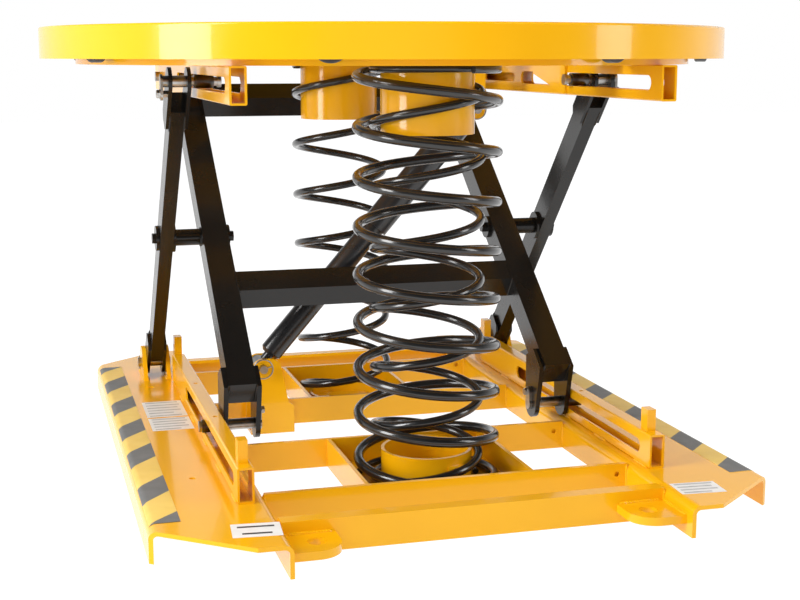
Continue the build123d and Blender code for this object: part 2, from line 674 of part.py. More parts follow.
def ring_axles():
    """Axles fixed in the deck's band, each with a head outside its roller and a nut inside the band."""
    axles = []
    for index in range(RING_ROLLER_COUNT):
        inner_end = DECK_BAND_RADIUS - DECK_BAND_WALL - 8.3 - RING_ROLLER_AT
        outer_end = RING_ROLLER_WIDTH / 2 + 1
        shaft = Pos(0, 0, inner_end) * extrude(Circle(RING_AXLE_RADIUS), outer_end - inner_end)
        head = Pos(0, 0, outer_end) * extrude(Circle(10), 5)
        nut = Pos(0, 0, inner_end) * extrude(RegularPolygon(10, 6), 8)
        axles.append(ring_roller_place(index) * (shaft + head + nut))
    return axles


def turntable_band():
    """Deep outer band of the turntable, under the edge of its flat top."""
    radius = RING_DIAMETER / 2
    height = RING_HEIGHT - RING_PLATE
    band = Cylinder(radius, height) - Cylinder(radius - RING_PLATE, height)
    return Pos(0, RING_CENTRE_Y, TOP_HEIGHT - RING_HEIGHT + height / 2) * band


def turntable_top():
    """Flat top of the turntable with a shallow inner lip."""
    flat = Cylinder(RING_DIAMETER / 2, RING_PLATE) - Cylinder(RING_FLANGE_RADIUS, RING_PLATE)
    lip = Cylinder(RING_FLANGE_RADIUS + RING_PLATE, RING_LIP) - Cylinder(RING_FLANGE_RADIUS, RING_LIP)
    top = Pos(0, 0, -RING_PLATE / 2) * flat + Pos(0, 0, -RING_LIP / 2) * lip
    outer_edge = top.edges().filter_by(GeomType.CIRCLE).group_by(Axis.Z)[-1].sort_by(SortBy.RADIUS)[-1]
    top = fillet(outer_edge, RING_EDGE)
    return Pos(0, RING_CENTRE_Y, TOP_HEIGHT) * top


# ---------------------------------------------------------------- springs

def coil(y, radius, wire, pitch, left_handed, lean):
    """Coil spring between the low and high seats, with its ends ground flat. It may lean towards -X."""
    low = SEAT_THICK
    high = DECK_BOTTOM
    path = Helix(pitch, high - low, radius, lefthand=left_handed)
    start = Plane(origin=path @ 0, z_dir=path % 0)
    body = Rot(0, -lean, 0) * sweep(start * Circle(wire / 2), path=path, is_frenet=True)
    space = Pos(0, 0, (high - low) / 2) * Cylinder(radius + wire, high - low - 0.6)
    return Pos(0, y, low) * (body & space)


# ---------------------------------------------------------------- damper

def damper_place(distance):
    """Placement on the damper's axis, with local Z along it, measured from the lower eye."""
    run = DAMPER_HIGH_X - DAMPER_LOW_X
    rise = DAMPER_HIGH_Z - DAMPER_LOW_Z
    length = math.hypot(run, rise)
    tilt = math.degrees(math.atan2(run, rise))
    x = DAMPER_LOW_X + run * distance / length
    z = DAMPER_LOW_Z + rise * distance / length
    return Pos(x, DAMPER_Y, z) * Rot(0, tilt, 0)


def damper_length():
    return math.hypot(DAMPER_HIGH_X - DAMPER_LOW_X, DAMPER_HIGH_Z - DAMPER_LOW_Z)


def rod_piece(radius, start, end):
    return damper_place((start + end) / 2) * Cylinder(radius, end - start)


def damper_eye(distance):
    return damper_place(distance) * Rot(90, 0, 0) * Cylinder(DAMPER_EYE_RADIUS, DAMPER_EYE_WIDTH)


def damper_eye_hole(distance):
    radius = DAMPER_PIN_RADIUS + RUNNING_GAP
    return damper_place(distance) * Rot(90, 0, 0) * Cylinder(radius, 2 * DAMPER_EYE_WIDTH)


def damper_body():
    """Oil cylinder with a bevelled foot, the lower eye and a guide for the rod."""
    outside = Cylinder(DAMPER_BODY_RADIUS, DAMPER_BODY_TOP - DAMPER_BODY_FOOT)
    outside = chamfer(outside.edges().group_by(Axis.Z)[0], DAMPER_FOOT_BEVEL)
    body = damper_place((DAMPER_BODY_FOOT + DAMPER_BODY_TOP) / 2) * outside
    bore = rod_piece(DAMPER_BODY_RADIUS - DAMPER_BODY_WALL, DAMPER_BODY_FOOT + 10, DAMPER_BODY_TOP - 12)
    guide = rod_piece(DAMPER_ROD_RADIUS + 0.4, DAMPER_BODY_TOP - 15, DAMPER_BODY_TOP + 1)
    neck = rod_piece(9, DAMPER_PIN_RADIUS + 1, DAMPER_BODY_FOOT + 1)
    return body - bore - guide + neck + damper_eye(0) - damper_eye_hole(0)


def damper_rod():
    """Rod with its piston and the upper eye."""
    length = damper_length()
    rod = rod_piece(DAMPER_ROD_RADIUS, DAMPER_PISTON + 5, length - DAMPER_PIN_RADIUS - 1)
    piston = rod_piece(DAMPER_BODY_RADIUS - DAMPER_BODY_WALL - 0.4, DAMPER_PISTON, DAMPER_PISTON + 20)
    return rod + piston + damper_eye(length) - damper_eye_hole(length)


def damper_cover():
    """Dust cover round the rod, closed at the top."""
    length = damper_length()
    top = length - DAMPER_COVER_END_GAP
    inside = rod_piece(DAMPER_COVER_RADIUS - DAMPER_COVER_WALL, DAMPER_COVER_START - 1, top - 4)
    cover = rod_piece(DAMPER_COVER_RADIUS, DAMPER_COVER_START, top) - inside
    return cover - rod_piece(DAMPER_ROD_RADIUS, DAMPER_COVER_START, length)


def build():
    """Every node's solid or solids, by name."""
    nodes = {}
    nodes["right_wing"] = wing()
    nodes["left_wing"] = other_side(wing())
    nodes["rear_cross_member"] = end_member()
    nodes["front_cross_member"] = front_to_back(end_member())
    nodes["front_pocket_wall"] = cross_wall(-POCKET_OUTER_Y)
    nodes["front_middle_wall"] = cross_wall(-POCKET_INNER_Y - WALL_THICK)
    nodes["rear_middle_wall"] = cross_wall(POCKET_INNER_Y)
    nodes["rear_pocket_wall"] = cross_wall(POCKET_OUTER_Y - WALL_THICK)
    nodes["pocket_bars"] = pocket_bars()
    nodes["lower_spring_seats"] = low_seats()
    nodes["lower_spring_cups"] = low_cups()
    nodes["right_lower_rail"] = low_rail()
    nodes["left_lower_rail"] = other_side(low_rail())
    nodes["support_posts"] = posts()
    rear_lugs = pair(lug())
    nodes["lifting_lugs"] = rear_lugs + [front_to_back(each) for each in rear_lugs]
    nodes["leg_foot_brackets"] = leg_brackets()
    nodes["leg_foot_pins"] = foot_pins()
    nodes["damper_base_bracket"] = damper_base_bracket()
    nodes["damper_base_pins"] = damper_base_pins()

    nodes["right_outer_leg"] = outer_leg()
    nodes["left_outer_leg"] = other_side(outer_leg())
    nodes["upper_roller_pins"] = upper_roller_pins()

    nodes["right_inner_leg"] = inner_leg()
    nodes["left_inner_leg"] = other_side(inner_leg())
    nodes["top_cross_tube"] = cross_tube(TOP_CROSS_TUBE_AT, 2 * (INNER_LEG_X - INNER_EAR))
    nodes["middle_cross_tube"] = cross_tube(MIDDLE_CROSS_TUBE_AT, 2 * INNER_LEG_X)
    nodes["middle_pivot_bolts"] = middle_pivots()
    nodes["lower_roller_pins"] = lower_roller_pins()
    nodes["inner_leg_top_pins"] = inner_top_pins()

    upper = leg_roller(298, 328, HIGH_PIN_HEIGHT)
    lower = leg_roller(299, 329, LOW_PIN_HEIGHT)
    nodes["right_upper_roller"] = upper
    nodes["left_upper_roller"] = other_side(upper)
    nodes["right_lower_roller"] = lower
    nodes["left_lower_roller"] = other_side(lower)

    nodes["right_upper_rail"] = high_rail()
    nodes["left_upper_rail"] = other_side(high_rail())
    nodes["roller_stops"] = roller_stops()
    nodes["deck_band"] = deck_band()
    nodes["deck_flange"] = deck_flange()
    nodes["deck_beams"] = deck_beams()
    nodes["upper_spring_seats"] = high_seats()
    nodes["upper_spring_cups"] = high_cups()
    nodes["damper_top_bracket"] = damper_top_bracket()
    nodes["damper_top_pin"] = damper_top_pin()
    nodes["ring_roller_axles"] = ring_axles()
    for index in range(RING_ROLLER_COUNT):
        nodes["ring_roller_" + str(index + 1)] = ring_roller(index)
    nodes["turntable_top"] = turntable_top()
    nodes["turntable_band"] = turntable_band()

    front_y = -POCKET_CENTRE_Y
    nodes["front_outer_spring"] = coil(front_y, OUTER_COIL_RADIUS, OUTER_WIRE, OUTER_PITCH, True, 0)
    nodes["front_inner_spring"] = coil(front_y, INNER_COIL_RADIUS, INNER_WIRE, INNER_PITCH, False, 0)
    rear = coil(POCKET_CENTRE_Y, INNER_COIL_RADIUS, INNER_WIRE, INNER_PITCH, False, REAR_SPRING_LEAN)
    nodes["rear_spring"] = rear

    nodes["damper_body"] = damper_body()
    nodes["damper_rod"] = damper_rod()
    nodes["damper_cover"] = damper_cover()
    return nodes


def main():
    os.makedirs("parts", exist_ok=True)
    for name, shape in build().items():
        if isinstance(shape, list):
            shape = Compound(children=shape)
        export_step(shape, os.path.join("parts", name + ".step"))


main()
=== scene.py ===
import math

import bmesh
import bpy
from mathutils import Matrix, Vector


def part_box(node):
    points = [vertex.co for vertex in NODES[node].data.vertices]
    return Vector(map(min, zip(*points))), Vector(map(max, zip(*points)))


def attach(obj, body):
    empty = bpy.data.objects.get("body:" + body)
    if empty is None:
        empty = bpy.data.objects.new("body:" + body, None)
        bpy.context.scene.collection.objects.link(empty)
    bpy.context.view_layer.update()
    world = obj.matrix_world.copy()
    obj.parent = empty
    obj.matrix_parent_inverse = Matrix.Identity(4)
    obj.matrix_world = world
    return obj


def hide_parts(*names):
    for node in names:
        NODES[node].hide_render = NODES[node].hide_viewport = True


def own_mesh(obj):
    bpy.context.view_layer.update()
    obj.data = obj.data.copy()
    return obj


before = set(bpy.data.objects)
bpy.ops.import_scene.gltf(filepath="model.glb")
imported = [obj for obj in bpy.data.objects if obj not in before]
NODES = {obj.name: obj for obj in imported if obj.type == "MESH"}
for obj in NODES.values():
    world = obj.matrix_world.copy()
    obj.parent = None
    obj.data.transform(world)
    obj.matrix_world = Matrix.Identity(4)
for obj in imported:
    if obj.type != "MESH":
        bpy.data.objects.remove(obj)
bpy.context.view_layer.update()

MM = 0.001
WING_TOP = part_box("right_wing")[1][2]
SPRING_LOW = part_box("front_outer_spring")[0][2]
SPRING_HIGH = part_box("upper_spring_seats")[0][2]


# ---------------------------------------------------------------- materials

class Recipe:
    """A principled material with a few helpers for its procedural inputs."""

    def __init__(self, name, colour, metallic=0.0, roughness=0.4):
        self.material = bpy.data.materials.new(name)
        self.material.use_nodes = True
        self.tree = self.material.node_tree
        self.shader = self.tree.nodes["Principled BSDF"]
        self.shader.inputs["Base Color"].default_value = (*colour, 1)
        self.shader.inputs["Metallic"].default_value = metallic
        self.shader.inputs["Roughness"].default_value = roughness
        self.place = self.tree.nodes.new("ShaderNodeTexCoord").outputs["Object"]

    def noise(self, scale, detail=3.0, stretch=(1, 1, 1)):
        mapping = self.tree.nodes.new("ShaderNodeMapping")
        mapping.inputs["Scale"].default_value = stretch
        texture = self.tree.nodes.new("ShaderNodeTexNoise")
        texture.inputs["Scale"].default_value = scale
        texture.inputs["Detail"].default_value = detail
        self.tree.links.new(self.place, mapping.inputs["Vector"])
        self.tree.links.new(mapping.outputs["Vector"], texture.inputs["Vector"])
        return texture.outputs["Fac"]

    def ramp(self, value, low, high, start=0.3, end=0.7):
        ramp = self.tree.nodes.new("ShaderNodeValToRGB")
        ramp.color_ramp.elements[0].position = start
        ramp.color_ramp.elements[1].position = end
        ramp.color_ramp.elements[0].color = (*low, 1)
        ramp.color_ramp.elements[1].color = (*high, 1)
        self.tree.links.new(value, ramp.inputs["Fac"])
        return ramp.outputs["Color"]

    def colour(self, low, high, scale, start=0.3, end=0.7):
        shade = self.ramp(self.noise(scale), low, high, start, end)
        self.tree.links.new(shade, self.shader.inputs["Base Color"])

    def roughness(self, low, high, scale, stretch=(1, 1, 1)):
        spread = self.tree.nodes.new("ShaderNodeMapRange")
        spread.inputs["To Min"].default_value = low
        spread.inputs["To Max"].default_value = high
        self.tree.links.new(self.noise(scale, 4.0, stretch), spread.inputs["Value"])
        self.tree.links.new(spread.outputs["Result"], self.shader.inputs["Roughness"])

    def bump(self, strength, distance, scale, stretch=(1, 1, 1)):
        bump = self.tree.nodes.new("ShaderNodeBump")
        bump.inputs["Strength"].default_value = strength
        bump.inputs["Distance"].default_value = distance
        self.tree.links.new(self.noise(scale, 2.0, stretch), bump.inputs["Height"])
        self.tree.links.new(bump.outputs["Normal"], self.shader.inputs["Normal"])

    def coat(self, weight, roughness, specular=0.5):
        self.shader.inputs["Coat Weight"].default_value = weight
        self.shader.inputs["Coat Roughness"].default_value = roughness
        self.shader.inputs["Specular IOR Level"].default_value = specular


def yellow_paint():
    paint = Recipe("yellow_powder_coat", (0.86, 0.43, 0.004), roughness=0.34)
    paint.colour((0.84, 0.410, 0.003), (0.88, 0.440, 0.005), 6.0)
    paint.roughness(0.16, 0.26, 18.0)
    paint.bump(0.10, 0.0005, 160.0)
    paint.coat(0.4, 0.05, 0.2)
    return paint.material


def black_paint():
    paint = Recipe("black_powder_coat", (0.006, 0.0055, 0.005), roughness=0.3)
    paint.colour((0.005, 0.0045, 0.004), (0.008, 0.007, 0.006), 9.0)
    paint.roughness(0.20, 0.32, 22.0)
    paint.bump(0.12, 0.0005, 200.0)
    paint.coat(0.25, 0.12, 0.25)
    return paint.material


def spring_enamel():
    paint = Recipe("spring_enamel", (0.010, 0.010, 0.010), roughness=0.24)
    paint.colour((0.008, 0.008, 0.008), (0.016, 0.016, 0.016), 14.0)
    paint.roughness(0.17, 0.30, 30.0)
    paint.bump(0.12, 0.0006, 140.0)
    paint.coat(0.45, 0.10)
    return paint.material


def zinc_plate():
    metal = Recipe("zinc_plate", (0.42, 0.41, 0.39), metallic=1.0, roughness=0.3)
    metal.colour((0.30, 0.295, 0.285), (0.52, 0.51, 0.49), 60.0)
    metal.roughness(0.22, 0.42, 45.0)
    metal.bump(0.15, 0.0004, 220.0, (0.15, 1, 1))
    return metal.material


def roller_steel():
    metal = Recipe("oiled_roller_steel", (0.10, 0.10, 0.10), metallic=1.0, roughness=0.3)
    metal.colour((0.06, 0.06, 0.06), (0.17, 0.165, 0.16), 70.0)
    metal.roughness(0.22, 0.40, 60.0)
    metal.bump(0.12, 0.0004, 200.0, (0.15, 1, 1))
    return metal.material


def nylon():
    plastic = Recipe("moulded_nylon", (0.035, 0.036, 0.038), roughness=0.42)
    plastic.colour((0.028, 0.029, 0.031), (0.045, 0.046, 0.050), 30.0)
    plastic.roughness(0.35, 0.5, 40.0)
    plastic.bump(0.15, 0.0005, 180.0)
    return plastic.material


def damper_paint():
    paint = Recipe("damper_enamel", (0.013, 0.013, 0.014), roughness=0.3)
    paint.colour((0.010, 0.010, 0.011), (0.018, 0.018, 0.019), 12.0)
    paint.roughness(0.22, 0.36, 24.0)
    paint.bump(0.1, 0.0005, 160.0)
    paint.coat(0.35, 0.15)
    return paint.material


def tape_black():
    vinyl = Recipe("tape_dark", (0.15, 0.153, 0.152), roughness=0.5)
    vinyl.colour((0.135, 0.138, 0.137), (0.165, 0.168, 0.166), 40.0)
    vinyl.roughness(0.42, 0.58, 50.0)
    vinyl.bump(0.25, 0.0004, 500.0)
    return vinyl.material


def tape_yellow():
    vinyl = Recipe("tape_yellow", (0.80, 0.55, 0.11), roughness=0.45)
    vinyl.colour((0.77, 0.52, 0.10), (0.83, 0.58, 0.13), 30.0)
    vinyl.roughness(0.38, 0.52, 50.0)
    vinyl.bump(0.2, 0.0004, 500.0)
    return vinyl.material


def label_white():
    paper = Recipe("label_white", (0.80, 0.80, 0.78), roughness=0.4)
    paper.colour((0.76, 0.76, 0.74), (0.83, 0.83, 0.82), 60.0)
    paper.roughness(0.34, 0.46, 60.0)
    paper.bump(0.1, 0.0003, 300.0)
    return paper.material


def label_ink(name, grey):
    ink = Recipe(name, (grey, grey, grey), roughness=0.45)
    dark, light = 0.85 * grey, 1.15 * grey
    ink.colour((dark, dark, dark), (light, light, light), 80.0)
    ink.roughness(0.4, 0.5, 60.0)
    ink.bump(0.1, 0.0003, 300.0)
    return ink.material


YELLOW = yellow_paint()
BLACK = black_paint()
ENAMEL = spring_enamel()
ZINC = zinc_plate()
ROLLER = roller_steel()
NYLON = nylon()
DAMPER = damper_paint()
TAPE_DARK = tape_black()
TAPE_YELLOW = tape_yellow()
LABEL = label_white()
INK = label_ink("label_bars", 0.05)
FAINT_INK = label_ink("label_faint_bars", 0.42)

ZINC_NODES = ("leg_foot_pins", "damper_base_pins", "damper_top_pin", "ring_roller_axles", "upper_roller_pins",
              "lower_roller_pins", "inner_leg_top_pins")
BLACK_NODES = ("right_outer_leg", "left_outer_leg", "right_inner_leg", "left_inner_leg", "top_cross_tube",
               "middle_cross_tube", "middle_pivot_bolts")
SPRING_NODES = ("front_outer_spring", "front_inner_spring", "rear_spring")
DAMPER_NODES = ("damper_body", "damper_cover")


def node_material(name):
    if name in BLACK_NODES:
        return BLACK
    if name in SPRING_NODES:
        return ENAMEL
    if name in DAMPER_NODES:
        return DAMPER
    if name in ZINC_NODES or name == "damper_rod":
        return ZINC
    if name.endswith("_roller"):
        return ROLLER
    if name.startswith("ring_roller_") and name != "ring_roller_axles":
        return NYLON
    return YELLOW


def paint(obj, material):
    obj.data.materials.clear()
    obj.data.materials.append(material)


def soften(obj, width, segments=2):
    """Small rounded edges, as bent and powder-coated steel has."""
    bevel = obj.modifiers.new("edges", "BEVEL")
    bevel.width = width
    bevel.segments = segments
    bevel.limit_method = "ANGLE"
    bevel.angle_limit = math.radians(40)
    bevel.harden_normals = True
    bevel.use_clamp_overlap = True


def smooth(obj, angle=35):
    obj.data.polygons.foreach_set("use_smooth", [True] * len(obj.data.polygons))
    if hasattr(obj.data, "set_sharp_from_angle"):
        obj.data.set_sharp_from_angle(angle=math.radians(angle))


ROUNDED = {
    "right_inner_leg": 2.5, "left_inner_leg": 2.5, "right_outer_leg": 2.0, "left_outer_leg": 2.0,
    "top_cross_tube": 3.0, "middle_cross_tube": 3.0, "right_upper_rail": 0.9, "left_upper_rail": 0.9,
    "right_lower_rail": 0.9, "left_lower_rail": 0.9,
}


def dress_frame():
    for name, node in NODES.items():
        paint(node, node_material(name))
        if name != "turntable_top":
            soften(node, ROUNDED.get(name, 0.8) * MM)


# ---------------------------------------------------------------- mesh helpers

def new_piece(name, mesh, material, body):
    obj = bpy.data.objects.new(name, mesh)
    bpy.context.scene.collection.objects.link(obj)
    paint(obj, material)
    smooth(obj)
    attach(obj, body)
    return obj


def from_bmesh(bm, name):
    bmesh.ops.recalc_face_normals(bm, faces=bm.faces)
    mesh = bpy.data.meshes.new(name)
    bm.to_mesh(mesh)
    bm.free()
    return mesh


def tube(bm, points, radius, sides=16, closed=False):
    """Sweeps a circle along points. The radius may be a number or one value per point."""
    count = len(points)
    rings = []
    reference = None
    for index, point in enumerate(points):
        after = points[(index + 1) % count] if closed or index + 1 < count else points[index]
        before = points[index - 1] if closed or index > 0 else points[index]
        along = (Vector(after) - Vector(before)).normalized()
        if reference is None:
            reference = along.orthogonal().normalized()
        reference = (reference - along * reference.dot(along)).normalized()
        across = along.cross(reference)
        size = radius[index] if isinstance(radius, list) else radius
        ring = []
        for side in range(sides):
            angle = 2 * math.pi * side / sides
            offset = reference * math.cos(angle) * size + across * math.sin(angle) * size
            ring.append(bm.verts.new(Vector(point) + offset))
        rings.append(ring)
    last = count if closed else count - 1
    for index in range(last):
        here, there = rings[index], rings[(index + 1) % count]
        for side in range(sides):
            next_side = (side + 1) % sides
            bm.faces.new((here[side], here[next_side], there[next_side], there[side]))
    if not closed:
        bm.faces.new(list(reversed(rings[0])))
        bm.faces.new(rings[-1])


RIPPLE_PITCH = 4.4 * MM
BEAD_STEP = 1.1 * MM
RING_STEP = 1.4 * MM


def weld_bead(bm, start, end, radius):
    """A bead of overlapping ripples from start to end."""
    start, end = Vector(start), Vector(end)
    length = (end - start).length
    steps = max(4, int(length / BEAD_STEP))
    points = []
    sizes = []
    for index in range(steps + 1):
        share = index / steps
        points.append(start.lerp(end, share))
        ripple = 1 + 0.13 * math.cos(2 * math.pi * share * length / RIPPLE_PITCH)
        taper = min(1.0, 0.45 + 6 * min(share, 1 - share))
        sizes.append(radius * ripple * taper)
    tube(bm, points, sizes, sides=8)


def weld_ring(bm, centre, radius, normal, bead):
    """The same ripples round a circle, a whole number of them."""
    centre, normal = Vector(centre), Vector(normal).normalized()
    first = normal.orthogonal().normalized()
    second = normal.cross(first)
    steps = max(24, int(2 * math.pi * radius / RING_STEP))
    ripples = round(2 * math.pi * radius / RIPPLE_PITCH)
    points = []
    sizes = []
    for index in range(steps):
        angle = 2 * math.pi * index / steps
        points.append(centre + first * math.cos(angle) * radius + second * math.sin(angle) * radius)
        sizes.append(bead * (1 + 0.12 * math.cos(angle * ripples)))
    tube(bm, points, sizes, sides=8, closed=True)


def disc(bm, centre, normal, radius, height, sides=24, chamfer=0.0):
    """A round or many-sided plug standing on centre, along normal, with a chamfered far edge."""
    centre, normal = Vector(centre), Vector(normal).normalized()
    first = normal.orthogonal().normalized()
    second = normal.cross(first)
    levels = [(0.0, radius), (height - chamfer, radius)]
    if chamfer:
        levels.append((height, radius - chamfer))
    rings = []
    for level, size in levels:
        ring = []
        for side in range(sides):
            angle = 2 * math.pi * side / sides
            around = first * math.cos(angle) * size + second * math.sin(angle) * size
            ring.append(bm.verts.new(centre + normal * level + around))
        rings.append(ring)
    for lower, upper in zip(rings, rings[1:]):
        for side in range(sides):
            next_side = (side + 1) % sides
            bm.faces.new((lower[side], lower[next_side], upper[next_side], upper[side]))
    bm.faces.new(list(reversed(rings[0])))
    bm.faces.new(rings[-1])


# ---------------------------------------------------------------- springs

def soft_ramp(distance, soft):
    """Near 0 below zero and near the distance above it, with a rounded corner between."""
    if distance > 20 * soft:
        return distance
    return soft * math.log1p(math.exp(distance / soft))


class Coil:
    """A spring whose height is start + rise * turn + gain * turn squared, with turn 0 at its left."""

    LEFT = math.radians(164.2)
    SEAT_SINK = 0.42
    SEAT_SOFT = 5 * MM
    LEAN_POWER = 2.2
    STEPS_PER_TURN = 80
    END_TAPER = 40

    def __init__(self, name, node, wire, diameter, left_handed, start, rise, gain, lean=0.0):
        self.name = name
        self.node = node
        self.wire = wire
        self.radius = (diameter - wire) / 2
        self.hand = -1 if left_handed else 1
        self.start = start
        self.rise = rise
        self.gain = gain
        self.lean = lean
        low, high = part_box(node)
        self.centre_y = (low[1] + high[1]) / 2

    def free_height(self, turn):
        return self.start + self.rise * turn + self.gain * turn * turn

    def height(self, turn):
        """The free height, closed down smoothly onto the two seats."""
        low = SPRING_LOW + self.SEAT_SINK * self.wire
        high = SPRING_HIGH - self.SEAT_SINK * self.wire
        above = low + soft_ramp(self.free_height(turn) - low, self.SEAT_SOFT)
        return high - soft_ramp(high - above, self.SEAT_SOFT)

    def turn_at(self, height):
        turn = (height - self.start) / self.rise
        for _ in range(20):
            turn = (height - self.start - self.gain * turn * turn) / self.rise
        return turn

    def points(self, tail):
        first = self.turn_at(SPRING_LOW + 0.5 * self.wire) - tail
        last = self.turn_at(SPRING_HIGH - 0.5 * self.wire) + tail
        steps = int((last - first) * self.STEPS_PER_TURN)
        points = []
        for index in range(steps + 1):
            turn = first + (last - first) * index / steps
            angle = self.LEFT + self.hand * 2 * math.pi * turn
            height = self.height(turn)
            share = (height - SPRING_LOW) / (SPRING_HIGH - SPRING_LOW)
            x = self.radius * math.cos(angle) - self.lean * (1 - (1 - share) ** self.LEAN_POWER)
            points.append((x, self.centre_y + self.radius * math.sin(angle), height))
        return points

    def build(self, tail=0.55):
        bm = bmesh.new()
        points = self.points(tail)
        count = len(points)
        sizes = []
        for index in range(count):
            from_end = min(index, count - 1 - index)
            sizes.append(0.5 * self.wire * min(1.0, 0.7 + 0.3 * from_end / self.END_TAPER))
        tube(bm, points, sizes, sides=20)
        mesh = from_bmesh(bm, self.name)
        for vertex in mesh.vertices:
            vertex.co.z = min(max(vertex.co.z, SPRING_LOW), SPRING_HIGH - 0.3 * MM)
        obj = new_piece(self.name, mesh, ENAMEL, "base")
        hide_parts(self.node)
        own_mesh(obj)


def springs():
    wire, slim = 15.5 * MM, 13.6 * MM
    Coil("front_outer_coil", "front_outer_spring", wire, 228 * MM, True, 0.114, 0.0710, 0.00045).build()
    Coil("front_inner_coil", "front_inner_spring", slim, 177 * MM, False, 0.005, 0.0900, 0.00042).build()
    Coil("rear_coil", "rear_spring", slim, 177 * MM, False, 0.0365, 0.0900, 0.00042, lean=10 * MM).build()


# ---------------------------------------------------------------- hazard tape and labels

def flat_shape(bm, corners, low, high):
    """A thin plate with the given plan corners."""
    bottom = [bm.verts.new((x, y, low)) for x, y in corners]
    top = [bm.verts.new((x, y, high)) for x, y in corners]
    bm.faces.new(list(reversed(bottom)))
    bm.faces.new(top)
    count = len(corners)
    for index in range(count):
        after = (index + 1) % count
        bm.faces.new((bottom[index], bottom[after], top[after], top[index]))


TAPE_INNER = 410 * MM
BEND_START = 443 * MM
BEND_RADIUS = 13 * MM
BEND_ANGLES = (0, 12, 24, 36, 46)
TAPE_THICK = 0.35 * MM
TAPE_END = 487 * MM
BLOCK_LENGTH = 78 * MM
SHORTEST_EDGE = 1 * MM
RIGHT_BLOCKS = (-485 * MM, -326 * MM, -151 * MM, 22 * MM, 195 * MM, 370 * MM)
RIGHT_SLANT = -42 * MM
LEFT_BLOCKS = (-572 * MM, -399 * MM, -218 * MM, -58 * MM, 108 * MM, 275 * MM, 440 * MM)
LEFT_SLANT = 52 * MM


def tape_section(lift):
    """X and Z of the tape's surface, from its inner edge over the wing's rounded outer edge."""
    section = [(TAPE_INNER, WING_TOP + lift)]
    for degrees in BEND_ANGLES:
        angle = math.radians(degrees)
        radius = BEND_RADIUS + lift
        x = BEND_START + radius * math.sin(angle)
        section.append((x, WING_TOP - BEND_RADIUS + radius * math.cos(angle)))
    return section


def tape_piece(bm, side, near, far):
    """A piece of tape. Its near and far ends are each given as Y at the outer and at the inner edge."""
    near = [min(max(y, -TAPE_END), TAPE_END) for y in near]
    far = [min(max(y, -TAPE_END), TAPE_END) for y in far]
    far = [max(there, here + SHORTEST_EDGE) for here, there in zip(near, far)]
    if max(there - here for here, there in zip(near, far)) <= SHORTEST_EDGE:
        return
    layers = []
    for lift in (0.0, TAPE_THICK):
        section = tape_section(lift)
        width = section[-1][0] - TAPE_INNER
        rows = []
        for outer_y, inner_y in (near, far):
            row = []
            for x, z in section:
                share = (x - TAPE_INNER) / width
                row.append(bm.verts.new((side * x, inner_y + (outer_y - inner_y) * share, z)))
            rows.append(row)
        layers.append(rows)
    (low_near, low_far), (high_near, high_far) = layers
    for index in range(len(low_near) - 1):
        after = index + 1
        bm.faces.new((low_near[index], low_near[after], low_far[after], low_far[index]))
        bm.faces.new((high_near[index], high_far[index], high_far[after], high_near[after]))
        bm.faces.new((low_near[index], high_near[index], high_near[after], low_near[after]))
        bm.faces.new((low_far[index], low_far[after], high_far[after], high_far[index]))
    bm.faces.new((low_near[0], low_far[0], high_far[0], high_near[0]))
    bm.faces.new((low_near[-1], high_near[-1], high_far[-1], low_far[-1]))


def hazard_tape(side, name, blocks, slant):
    """Tape along a wing's outer edge: a light strip cut into pieces by slanted dark blocks."""
    dark, light = bmesh.new(), bmesh.new()
    last = (-TAPE_END, -TAPE_END)
    for start in blocks:
        near = (start, start + slant)
        far = (start + BLOCK_LENGTH, start + BLOCK_LENGTH + slant)
        tape_piece(light, side, last, near)
        tape_piece(dark, side, near, far)
        last = far
    tape_piece(light, side, last, (TAPE_END, TAPE_END))
    new_piece(f"{name}_tape_dark", from_bmesh(dark, "tape"), TAPE_DARK, "base")
    new_piece(f"{name}_tape_light", from_bmesh(light, "tape"), TAPE_YELLOW, "base")


LABEL_LIFT = 0.25 * MM
BAR_LIFT = 0.3 * MM
BAR_SHARE = 0.22
THICKEST_BAR = 3 * MM


def label(name, centre, size, turn, rows, bars):
    """A blank white label with plain bars for wording. A row is a bar's ends, in shares of the half width."""
    paper, ink = bmesh.new(), bmesh.new()
    half_x, half_y = size[0] / 2, size[1] / 2

    def place(x, y):
        c, s = math.cos(turn), math.sin(turn)
        return centre[0] + x * c - y * s, centre[1] + x * s + y * c

    def patch(bm, x0, x1, y0, y1, low, high):
        flat_shape(bm, [place(x0, y0), place(x1, y0), place(x1, y1), place(x0, y1)], low, high)

    patch(paper, -half_x, half_x, -half_y, half_y, WING_TOP, WING_TOP + LABEL_LIFT)
    for row, (start, end) in enumerate(rows):
        middle = half_y - (row + 0.5) * 2 * half_y / len(rows)
        half_thick = min(BAR_SHARE * 2 * half_y / len(rows), THICKEST_BAR)
        low, high = middle - half_thick, middle + half_thick
        patch(ink, half_x * start, half_x * end, low, high, WING_TOP, WING_TOP + BAR_LIFT)
    new_piece(name, from_bmesh(paper, name), LABEL, "base")
    new_piece(name + "_bars", from_bmesh(ink, name), bars, "base")


def labels():
    fine = [(-0.85, 0.8), (-0.85, 0.85), (-0.85, 0.7), (-0.85, 0.82), (-0.85, 0.4), (-0.85, 0.75)]
    bold = [(-0.75, 0.75), (-0.6, 0.6)]
    label("left_label_back", (-0.3645, 0.126), (0.069, 0.110), 0.0, fine, FAINT_INK)
    label("left_label_front", (-0.3645, 0.0225), (0.069, 0.081), 0.0, fine[:5], FAINT_INK)
    label("front_label", (-0.318, -0.547), (0.066, 0.053), math.radians(-5), bold, INK)
    label("right_label", (0.328, -0.541), (0.068, 0.050), math.radians(-4), fine[1:5], FAINT_INK)


# ---------------------------------------------------------------- welds and small fasteners

